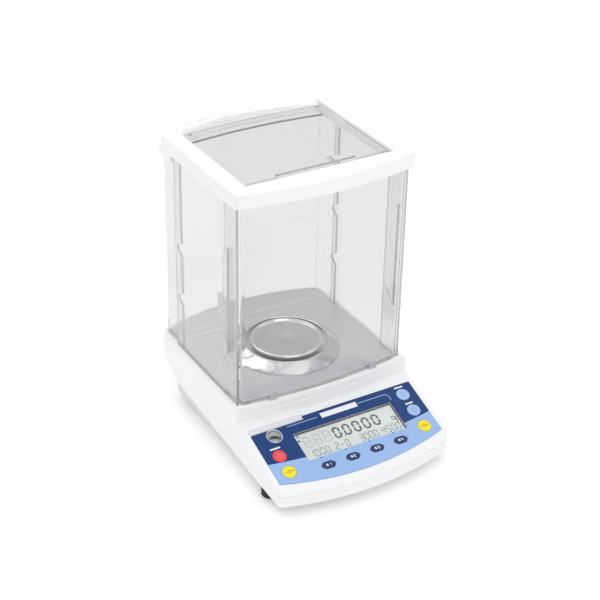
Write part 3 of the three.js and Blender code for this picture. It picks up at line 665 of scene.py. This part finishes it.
def cut_on_walls(face):
    """Upright walls. A narrow strip that faces both ways is a moulded corner, which is clear."""
    is_corner = abs(face.normal.x) > 0.12 and abs(face.normal.y) > 0.12
    return is_narrow(face) and not is_corner


def cut_on_door(face):
    """A door's own edges, and its grip's straight front, whose grey is also a painted shadow line. The rest
    of the grip stays clear.
    """
    on_sheet = abs(face.normal.x) < 0.3 and abs(face.calc_center_median().x) < DOOR_FACE
    return is_narrow(face) and (on_sheet or face.normal.y < -0.9)


def cut_on_lid(face):
    """The lid's own edges, and its grip's straight front, whose grey is also a painted shadow line."""
    on_sheet = abs(face.normal.z) < 0.3 and face.calc_center_median().z < LID_FACE
    return is_narrow(face) and (on_sheet or face.normal.y < -0.9)


def clear_panel(node, name, is_cut, fold=None):
    """A panel with clear faces and cut edges. Above the height of fold, its thinned top is clearer."""
    mesh = cleaned_copy(node, name)
    work = bmesh.new()
    work.from_mesh(mesh)
    cut = 0
    for face in work.faces:
        face.material_index = int(is_cut(face))
        cut += face.material_index
        if fold and face.calc_center_median().z > fold:
            face.material_index = 2
    work.to_mesh(mesh)
    work.free()
    smooth(mesh, 30)
    finishes = [CLEAR, CUT_EDGE, FOLD] if fold else [CLEAR, CUT_EDGE]
    piece = add_piece(name, mesh, finishes, nodes[node]["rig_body"], [node])
    round_edges(piece, 0.18 * MM, 1, 40)
    print(name, "cut edge faces", cut)


clear_panel("front_panel", "shield_front", cut_on_walls)
clear_panel("rear_hood", "shield_hood", cut_on_walls, FOLD_HEIGHT)
clear_panel("left_door", "left_sliding_door", cut_on_door)
clear_panel("right_door", "right_sliding_door", cut_on_door)
clear_panel("top_lid", "sliding_lid", cut_on_lid)
refined("top_frame", "shield_frame", WHITE, 0.7 * MM, 3)
for side in ("left", "right"):
    refined(f"panel_clip_{side}", f"shield_clip_{side}", CLIP_GREY, 0.5 * MM)

# %% [markdown]
# ## Turned pieces
# The pan, the draft ring, the keys and the level are round. Each is drawn as half a section, a list of
# radius and height in millimetres, and turned in many fine steps, so that its outline stays round close
# up. A rounded lip is an arc worked out between two angles.


# %% Turn a section
def turned(name, section, centre, place, material, body, replaced=(), steps=96, angle=40):
    """Turn half a section, in millimetres, about a centre on the plane that place stands for."""
    work = bmesh.new()
    rings = []
    for radius, height in section:
        spokes = [2 * math.pi * step / steps for step in range(steps)] if radius > 0 else [0.0]
        points = [(centre[0] + radius * math.cos(turn), centre[1] + radius * math.sin(turn), height)
                  for turn in spokes]
        rings.append([work.verts.new(Vector(point) * MM) for point in points])
    pairs = list(zip(rings, rings[1:]))
    if len(rings[0]) > 1:
        pairs.append((rings[-1], rings[0]))
    for lower, upper in pairs:
        for step in range(steps):
            after = (step + 1) % steps
            corners = [lower[step % len(lower)], lower[after % len(lower)],
                       upper[after % len(upper)], upper[step % len(upper)]]
            unique = list(dict.fromkeys(corners))
            if len(unique) > 2:
                work.faces.new(unique)
    bmesh.ops.recalc_face_normals(work, faces=work.faces)
    work.transform(place)
    mesh = bpy.data.meshes.new(name)
    work.to_mesh(mesh)
    work.free()
    smooth(mesh, angle)
    add_piece(name, mesh, [material], body, replaced)


def arc(radius, height, size, start, end, steps=8):
    """Points round a small circle about (radius, height), from one angle to another in degrees."""
    turns = [math.radians(start + (end - start) * step / steps) for step in range(steps + 1)]
    return [(radius + size * math.cos(turn), height + size * math.sin(turn)) for turn in turns]


# %% [markdown]
# ## Pan, draft ring and floor plate
# The pan is a shallow dish of brushed steel, a little over 80 mm across, with a bright rolled rim and a
# small turned mark in the middle. The draft ring around it is polished and leans inwards to a thin lip.
# Under both lies the brushed floor plate, with two low steps at its rear.

# %% Weighing pan
CENTRE = (0.0, PAN_BEHIND_FRONT / MM)
FINE = 128
DISH = {"radius": 36, "top": 10.6, "under": 8.4}
SOCKET = {"inner": 3.4, "outer": 6.5, "foot": 2.6, "roof": 7.4}
MARK = {"radius": 2.6, "bevel": 0.8, "floor": 10.4}

dish_section = [
    (0, SOCKET["roof"]), (SOCKET["inner"], SOCKET["roof"]), (SOCKET["inner"], SOCKET["foot"]),
    (SOCKET["outer"], SOCKET["foot"]), (SOCKET["outer"], DISH["under"]), (DISH["radius"], DISH["under"]),
    (DISH["radius"], DISH["top"]), (MARK["radius"], DISH["top"]),
    (MARK["radius"] - MARK["bevel"], MARK["floor"]), (0, MARK["floor"]),
]
turned("round_pan", dish_section, CENTRE, AT_DECK, PAN_STEEL, "pan", ["weighing_pan"], FINE)

rim_inside = DISH["radius"] + 0.05
rim_section = [(rim_inside, 8.5), (37.2, 8.5)]
rim_section += arc(38.6, 11.1, 2.4, -70, 0, 8)
rim_section += arc(39.0, 10.5, 2.0, 10, 90, 8)
rim_section += arc(38.4, 11.5, 1.0, 100, 160, 4)
rim_section += [(36.9, 11.0), (36.4, 10.7), (rim_inside, 10.6)]
turned("pan_rim", rim_section, CENTRE, AT_DECK, RIM_STEEL, "pan", ["weighing_pan"], FINE)

# %% [markdown]
# The ring's face leans inwards from its foot to its lip. It is almost straight: its height goes with a
# power a little under one of the way in, which makes it swell very slightly, as a spun sheet does.

# %% Draft ring and floor plate
RING = {"outer": 60, "inner": 46.2, "foot": 0.3, "edge": 0.8, "inwards": 11.9, "rise": 8.4, "swell": 0.92}
ring_section = [(RING["inner"], RING["foot"]), (RING["outer"], RING["foot"]), (RING["outer"], RING["edge"])]
ring_section += [(RING["outer"] - RING["inwards"] * step / 10,
                  RING["edge"] + RING["rise"] * (step / 10) ** RING["swell"]) for step in range(1, 11)]
ring_section += arc(47.3, 8.9, 1.1, 15, 180, 10)
turned("draft_ring_turned", ring_section, CENTRE, AT_DECK, POLISHED, "draft_ring",
       ["breeze_ring"], FINE)
refined("floor_plate", "chamber_floor", FLOOR_STEEL, 0.25 * MM)

# %% [markdown]
# ## Keys
# Round keys are domed caps that stand a millimetre proud of the membrane. A flattened sphere would give
# the dome, but a turned section also gives the small round at the cap's edge, which catches the light.
# The four keys under the display are flat lozenges with pointed ends, and keep their CAD outline.

# %% Keys
KEY = {"radius": 7.5, "foot": -2.6, "crown": 1.14, "fall": 0.22, "edge": 0.6}
KEY_PLACES = {
    "power_key": (-83.5, -61.6, RED, "key_red"),
    "tare_key_left": (-83.5, -83, YELLOW, "key_yellow"),
    "tare_key_right": (84.5, -83, YELLOW, "key_yellow"),
    "print_key": (84.5, -60.2, PALE_BLUE, "key_pale_blue"),
    "menu_key": (84.5, -37.4, PALE_BLUE, "key_pale_blue"),
}
key_section = [(0, KEY["foot"]), (KEY["radius"], KEY["foot"])]
key_section += arc(KEY["radius"] - KEY["edge"], 0.3, KEY["edge"], 0, 80, 6)
key_section += [(KEY["radius"] * share, KEY["crown"] - KEY["fall"] * share ** 2)
                for share in (0.85, 0.7, 0.55, 0.4, 0.25, 0.1)]
key_section += [(0, KEY["crown"])]
for node, (x, v, material, slot) in KEY_PLACES.items():
    turned(f"{node}_cap", key_section, (x, v), PANEL, material, node, [node], 64, 60)
for number in range(1, 5):
    refined(f"soft_key_{number}", f"display_key_{number}", DARK_BLUE, 0.2 * MM, 2)

# %% [markdown]
# ## Membrane, display and level
# The membrane and the window are flat sheets laid in the housing. Black bands between the window and the
# display are painted shadow, the dark line of shade round the glass. The level's ring and dome are turned
# afresh, because a bright ring shows every facet of a coarser mesh.

# %% Membrane, display and level
refined("keypad_overlay", "printed_membrane", MEMBRANE, 0.12 * MM, 1)
refined("label_plate", "blank_plate", LABEL, 0.15 * MM, 1)
refined("lcd_module", "display_block", DISPLAY_SHEET, 0)
refined("display_window", "display_glass_sheet", WINDOW, 0.1 * MM, 1)

DOME_RISE = 0.8
level_section = arc(8.2, 0.5, 0.8, 0, 180, 12)
level_section += [(7.2, 0.3), (7.1, -3), (9, -3)]
vial_section = [(0, -6), (VIAL_RADIUS, -6), (VIAL_RADIUS, 0.0)]
vial_section += [(VIAL_RADIUS * math.cos(math.radians(turn)), DOME_RISE * math.sin(math.radians(turn)))
                 for turn in (12, 26, 40, 54, 68, 80)]
vial_section += [(0, DOME_RISE)]
turned("level_bezel", level_section, LEVEL, PANEL, PLATED, "balance", ["level_ring"], 64)
turned("level_dome", vial_section, LEVEL, PANEL, LEVEL_FLUID, "balance", ["level_vial"], 64)

# %% [markdown]
# ## Print and display segments
# Print is ink a few hundredths of a millimetre thick. A picture laid on the membrane would blur close up,
# so each mark is an outline on the panel, lifted into a thin plate just above its surface. A line is a
# ribbon: the points on both sides of its path.


# %% Lay flat shapes on the panel
SKIN = 0.04 * MM
PRINT_LIFT = 0.01 * MM


def laid(name, outlines, height, material, body="balance", place=PANEL, thickness=SKIN):
    """Outlines of (x, v) points in millimetres become thin plates on a plane, height above it."""
    work = bmesh.new()
    for outline in outlines:
        low = [work.verts.new((x * MM, v * MM, height)) for x, v in outline]
        high = [work.verts.new((x * MM, v * MM, height + thickness)) for x, v in outline]
        work.faces.new(high)
        work.faces.new(list(reversed(low)))
        for i, corner in enumerate(low):
            after = (i + 1) % len(low)
            work.faces.new((corner, low[after], high[after], high[i]))
    bmesh.ops.recalc_face_normals(work, faces=work.faces)
    work.transform(place)
    mesh = bpy.data.meshes.new(name)
    work.to_mesh(mesh)
    work.free()
    add_piece(name, mesh, [material], body)


def rectangle(x0, x1, v0, v1):
    return [(x0, v0), (x1, v0), (x1, v1), (x0, v1)]


def ribbon(path, width):
    left, right = [], []
    for i, (x, v) in enumerate(path):
        before = path[max(i - 1, 0)]
        after = path[min(i + 1, len(path) - 1)]
        run = Vector((after[0] - before[0], after[1] - before[1])).normalized()
        left.append((x - run.y * width / 2, v + run.x * width / 2))
        right.append((x + run.y * width / 2, v - run.x * width / 2))
    return left + right[::-1]


def curve(centre, radius, start, end, steps=12):
    return arc(*centre, radius, start, end, steps)


# %% Print on the membrane
ON_SHEET = 0.4 * MM + PRINT_LIFT
LINE_WIDTH = 1.0
corner = curve((62.8, -35.6), 5.4, 90, 5, 8)
right_line = ribbon([(30, -30.2), (45, -30.2), *corner, (68, -39.6)], LINE_WIDTH)
left_line = ribbon([(-58, -30.8), (-40, -30.8), (-21, -30.8)], LINE_WIDTH)
laid("frame_line_right", [right_line], ON_SHEET, LINE_INK)
laid("frame_line_left", [left_line], ON_SHEET, LINE_INK)
laid("blank_bar", [rectangle(-16.4, 28.6, -33.6, -27.2)], ON_SHEET, WHITE_INK)

CAPTION_HALF_HEIGHT = 0.95
captions = [rectangle(x - width / 2, x + width / 2, v - CAPTION_HALF_HEIGHT, v + CAPTION_HALF_HEIGHT)
            for x, v, width in ((-83.5, -51.4, 12), (84.5, -27.0, 10.5), (84.5, -50.2, 9.5))]
laid("key_captions", captions, ON_SHEET, WHITE_INK)

SOFT_MIDDLE, SOFT_PITCH, SOFT_UP = 4.8, 29.8, -89.9
TICK_FOOT, TICK_TIP, TICK_OFFSET = -79.4, -77.9, -3.0
tick_places = [SOFT_MIDDLE + TICK_OFFSET + SOFT_PITCH * (number - 2.5) for number in range(1, 5)]
ticks = [[(x - 1.6, TICK_FOOT), (x + 1.6, TICK_FOOT), (x, TICK_TIP)] for x in tick_places]
laid("display_ticks", ticks, ON_SHEET, NAVY_INK)

# %% [markdown]
# ### Digits
# A digit is made of up to seven bars. Each bar is a long hexagon with pointed ends, so that bars meet
# in neat mitres, and a table says which bars are lit for which digit. The same function draws the large
# reading, the thin lower row and the numbers on the keys.

# %% Seven-bar digits
LIT = {"0": "abcdef", "1": "bc", "2": "abged", "3": "abgcd", "4": "fgbc", "5": "afgcd",
       "6": "afgedc", "7": "abc", "8": "abcdefg", "9": "abcfgd", "-": "g"}


def bar(start, end, weight, gap):
    along = Vector((end[0] - start[0], end[1] - start[1])).normalized()
    side = Vector((-along.y, along.x)) * weight / 2
    first = Vector(start) + along * gap
    last = Vector(end) - along * gap
    inner, outer = first + along * weight / 2, last - along * weight / 2
    corners = (first, inner - side, outer - side, last, outer + side, inner + side)
    return [tuple(corner) for corner in corners]


def digit(mark, x, v, width, height, weight, gap=0.12):
    """The bars of one digit whose lower left corner is at (x, v)."""
    x0, x1 = x + weight / 2, x + width - weight / 2
    v0, v1 = v + weight / 2, v + height - weight / 2
    half = (v0 + v1) / 2
    ends = {"a": ((x0, v1), (x1, v1)), "b": ((x1, half), (x1, v1)), "c": ((x1, v0), (x1, half)),
            "d": ((x0, v0), (x1, v0)), "e": ((x0, v0), (x0, half)), "f": ((x0, half), (x0, v1)),
            "g": ((x0, half), (x1, half))}
    return [bar(*ends[name], weight, gap) for name in LIT[mark]]


def row(text, x, v, width, height, weight, pitch, gap=0.12):
    shapes = []
    for place, mark in enumerate(text):
        shapes += digit(mark, x + place * pitch, v, width, height, weight, gap)
    return shapes


# %% The display's reading
ON_DISPLAY = -2.0 * MM + PRINT_LIFT
READING_FOOT, LOWER_FOOT = -62.6, -75.8
LARGE = {"width": 8.8, "height": 14.6, "pitch": 12.1}
SMALL = {"width": 5.0, "height": 9.6, "weight": 1.0, "gap": 0.2}

reading = row("00000", -14.2, READING_FOOT, weight=2.3, **LARGE)
reading.append(rectangle(-3.6, -1.9, READING_FOOT, READING_FOOT + 1.7))
laid("reading_segments", reading, ON_DISPLAY, SEGMENT_INK)
resting = row("888", -50.5, READING_FOOT, weight=1.7, **LARGE)
laid("resting_segments", resting, ON_DISPLAY, RESTING_INK)

lower = []
for text, x, pitch in (("1000", -51.4, 6.4), ("2-0", -20.8, 6.4), ("3000", 9.6, 6.0), ("4500", 37.0, 6.4)):
    lower += row(text, x, LOWER_FOOT, pitch=pitch, **SMALL)
laid("lower_row_segments", lower, ON_DISPLAY, FAINT_INK)

steady_ring = ribbon(curve((-52.6, -45.2), 1.3, 20, 340), 0.8)
steady_square = rectangle(-55.4, -52.9, -52.2, -49.7)
unit_ring = ribbon(curve((58.8, -60.2), 2.2, 0, 350), 1.0)
unit_stem = rectangle(60.6, 61.9, -66.6, -58.4)
signs = [steady_ring, steady_square, unit_ring, unit_stem]
laid("display_signs", signs, ON_DISPLAY, SEGMENT_INK)

# %% [markdown]
# ### Painted shadow round the display
# The flat top of the painted shadow is seen through the glass along the back and down both sides. It is
# three black bands, the widest at the back, where the window's recess shades the display.

# %% Painted shadow round the display
PAINTED_SHADOW_TOP = -1.95 * MM
left, right, front, back = -57.0, 65.0, -77.8, -41.4
BACK_BAND, LEFT_BAND, RIGHT_BAND = 2.0, 0.9, 1.6
painted_shadow_bands = [rectangle(left, right, back - BACK_BAND, back),
          rectangle(left, left + LEFT_BAND, front, back - BACK_BAND),
          rectangle(right - RIGHT_BAND, right, front, back - BACK_BAND)]
laid("display_painted_shadow", painted_shadow_bands, PAINTED_SHADOW_TOP, BLACK_SEAL_AND_PAINTED_SHADOW)

# %% [markdown]
# ### Seals and buffers of the shield
# The front panel stands on a thin pale seal that follows its bow, with a bead of the same along its
# inside. A dark seal runs along the bottom of the hood's folded front edge, and three small buffers stand
# on the shelf above it, under the sliding lid. Each seal is a band between two bows of the same shape.


# %% Seals of the shield
PANEL_CURVE = {"bow": -8.3, "half_chord": 97.6}
HOOD_CURVE = {"bow": 6.6, "half_chord": 86}


def bowed_band(half_length, front, rear, bow, half_chord, steps=24):
    """The outline of a band across the shield, between two bows that end at depths front and rear."""
    stations = [half_length * (2 * step / steps - 1) for step in range(steps + 1)]
    bulge = {x: bow * (1 - (x / half_chord) ** 2) for x in stations}
    return [(x, front + bulge[x]) for x in stations] + [(x, rear + bulge[x]) for x in reversed(stations)]


for name, outline, height, thickness, material in (
    ("panel_seal", bowed_band(94, 0.3, 3.5, **PANEL_CURVE), -4.98, 0.22, SEAL_GREY),
    ("panel_bead", bowed_band(94 * 22 / 24, 3.06, 3.5, **PANEL_CURVE, steps=22), -4.74, 2.9, SEAL_GREY),
    ("hood_seal", bowed_band(85.4, 147.7, 149.8, **HOOD_CURVE), 228.9, 1.0, BLACK_SEAL_AND_PAINTED_SHADOW),
):
    laid(name, [outline], height * MM, material, place=AT_DECK, thickness=thickness * MM)

# %% Lid buffers
SHELF = 236.05
buffer_section = [(0, SHELF), (2.2, SHELF), (2.0, 237.6), (1.4, 238.1), (0, 238.2)]
for number, centre in enumerate([(-72, 156), (9, 162), (82, 157)], 1):
    turned(f"lid_buffer_{number}", buffer_section, centre, AT_DECK, CLIP_GREY, "balance",
           steps=24)

# %% [markdown]
# ### Symbols on the keys
# A symbol rides with its own key. The power key has the usual ring and bar, the keys for setting zero
# have a zero between two dashes, the pale keys a plain ring, and the display keys a square and a number.

# %% Key symbols
CAP_TOP = KEY["crown"] * MM + PRINT_LIFT
SOFT_KEY_TOP = 1.05 * MM + PRINT_LIFT
ZERO = {"width": 2.6, "height": 3.8, "weight": 0.8}
DASH_START, DASH_END, DASH_HALF = 2.0, 4.8, 0.5

x, v = KEY_PLACES["power_key"][:2]
power_ring = ribbon(curve((x, v), 2.5, 125, 415, 18), 0.7)
power_bar = rectangle(x - 0.35, x + 0.35, v + 0.6, v + 3.4)
laid("power_symbol", [power_ring, power_bar], CAP_TOP, BLUSH_INK, "power_key")
for node in ("tare_key_left", "tare_key_right"):
    x, v = KEY_PLACES[node][:2]
    symbol = digit("0", x - ZERO["width"] / 2, v - ZERO["height"] / 2, gap=0.0, **ZERO)
    symbol.append(rectangle(x - DASH_END, x - DASH_START, v - DASH_HALF, v + DASH_HALF))
    symbol.append(rectangle(x + DASH_START, x + DASH_END, v - DASH_HALF, v + DASH_HALF))
    laid(f"{node}_symbol", symbol, CAP_TOP, OCHRE_INK, node)
for node in ("print_key", "menu_key"):
    x, v = KEY_PLACES[node][:2]
    plain_ring = ribbon(curve((x, v), 2.3, 0, 350, 24), 0.6)
    laid(f"{node}_symbol", [plain_ring], CAP_TOP, SKY_INK, node)

# %% Numbers on the display keys
for number in range(1, 5):
    x = SOFT_MIDDLE + SOFT_PITCH * (number - 2.5)
    mark = digit(str(number), x + 0.2, SOFT_UP - 1.9, 2.7, 3.8, 0.8, 0.05)
    mark.append(rectangle(x - 3.0, x - 0.8, SOFT_UP - 1.3, SOFT_UP + 1.3))
    laid(f"display_key_{number}_number", mark, SOFT_KEY_TOP, WHITE_INK,
         f"soft_key_{number}")

# %% [markdown]
# ## Inside and behind
# The weigh cell, the boards and the sockets are seen only when the balance is opened or turned round.
# They keep their CAD shapes, with lightly rounded edges and finishes of their own.

# %% Weigh cell, boards and sockets
for node, material in {
    "cell_bed": ALUMINIUM, "weigh_cell": ALUMINIUM, "load_receptor": ALUMINIUM, "pan_support": ALUMINIUM,
    "magnet_pot": PLATED, "calibration_motor": PLATED, "calibration_weight": POLISHED,
    "calibration_lifter": CLIP_GREY, "display_board": BOARD, "main_board": BOARD, "power_board": BOARD,
    "connector_plate": BASE_GREY, "power_jack": BLACK, "serial_port": PLATED, "data_port": PLATED,
}.items():
    refined(node, f"{node}_finished", material, 0.2 * MM)
print("pieces made:", len(made))

# %% [markdown]
# ## Camera, floor and light
# The camera looks down at the front left corner from about 1.7 m with a long lens, so the verticals
# close only slightly. The white floor is lit a little from below, as on a light table, and broad soft
# lamps keep the shadows faint. The lamp behind on the left is what the polished ring reflects.

# %% Camera
AZIMUTH, ELEVATION, ROLL = math.radians(-31.0971), math.radians(30.6338), math.radians(1.1476)
DISTANCE = 1.67496
aim = DECK + Vector((22.54, 82.99, 47.76)) * MM
ahead = Vector((math.sin(AZIMUTH), -math.cos(AZIMUTH), 0))
away = ahead * math.cos(ELEVATION) + Vector((0, 0, math.sin(ELEVATION)))
level_right = Vector((math.cos(AZIMUTH), math.sin(AZIMUTH), 0))
level_up = away.cross(level_right)
right = level_right * math.cos(ROLL) + level_up * math.sin(ROLL)
up = away.cross(right)
lens = bpy.data.cameras.new("Camera")
lens.lens = 91.04
lens.sensor_width = 36
camera = bpy.data.objects.new("Camera", lens)
turn = Matrix((right, up, away)).transposed().to_4x4()
camera.matrix_world = Matrix.Translation(aim + away * DISTANCE) @ turn
scene.collection.objects.link(camera)
scene.camera = camera
print("camera at", [round(place, 3) for place in camera.matrix_world.translation])

# %% Floor
FLOOR_HALF = 6.0
work = bmesh.new()
bmesh.ops.create_grid(work, x_segments=8, y_segments=8, size=FLOOR_HALF)
floor_mesh = bpy.data.meshes.new("Studio floor")
work.to_mesh(floor_mesh)
work.free()
floor = bpy.data.objects.new("Studio floor", floor_mesh)
scene.collection.objects.link(floor)
floor_paint = moulded("Studio floor paint", linear(250, 250, 250), 0.7, 0.02, 300.0, 0.01)
glow = next(node for node in floor_paint.node_tree.nodes if node.type == "BSDF_PRINCIPLED")
glow.inputs["Emission Color"].default_value = (1, 1, 1, 1)
glow.inputs["Emission Strength"].default_value = 0.16
floor_mesh.materials.append(floor_paint)
print("floor is", 2 * FLOOR_HALF, "metres wide")


# %% Lights
def softbox(name, place, size, power):
    light = bpy.data.lights.new(name, "AREA")
    light.shape = "RECTANGLE"
    light.size, light.size_y = size
    light.energy = power
    lamp = bpy.data.objects.new(name, light)
    lamp.location = aim + Vector(place)
    lamp.rotation_euler = (-Vector(place)).to_track_quat("-Z", "Y").to_euler()
    scene.collection.objects.link(lamp)
    print(name, power, "watts")


softbox("Overhead", (0.2, 0.2, 1.9), (2.2, 2.2), 10)
softbox("Key from the right", (1.7, -1.1, 1.0), (1.4, 1.4), 2.5)
softbox("Fill in front", (-0.3, -1.6, 1.6), (1.6, 1.0), 8)
softbox("Behind on the left", (-0.82, 1.05, 1.5), (1.35, 1.35), 7)

world = bpy.data.worlds.new("Studio")
world.use_nodes = True
scene.world = world
world_tree = world.node_tree
background = next(node for node in world_tree.nodes if node.type == "BACKGROUND")
background.inputs["Strength"].default_value = 0.65
background.inputs["Color"].default_value = (1, 1, 1, 1)
scene.view_settings.view_transform = "Standard"
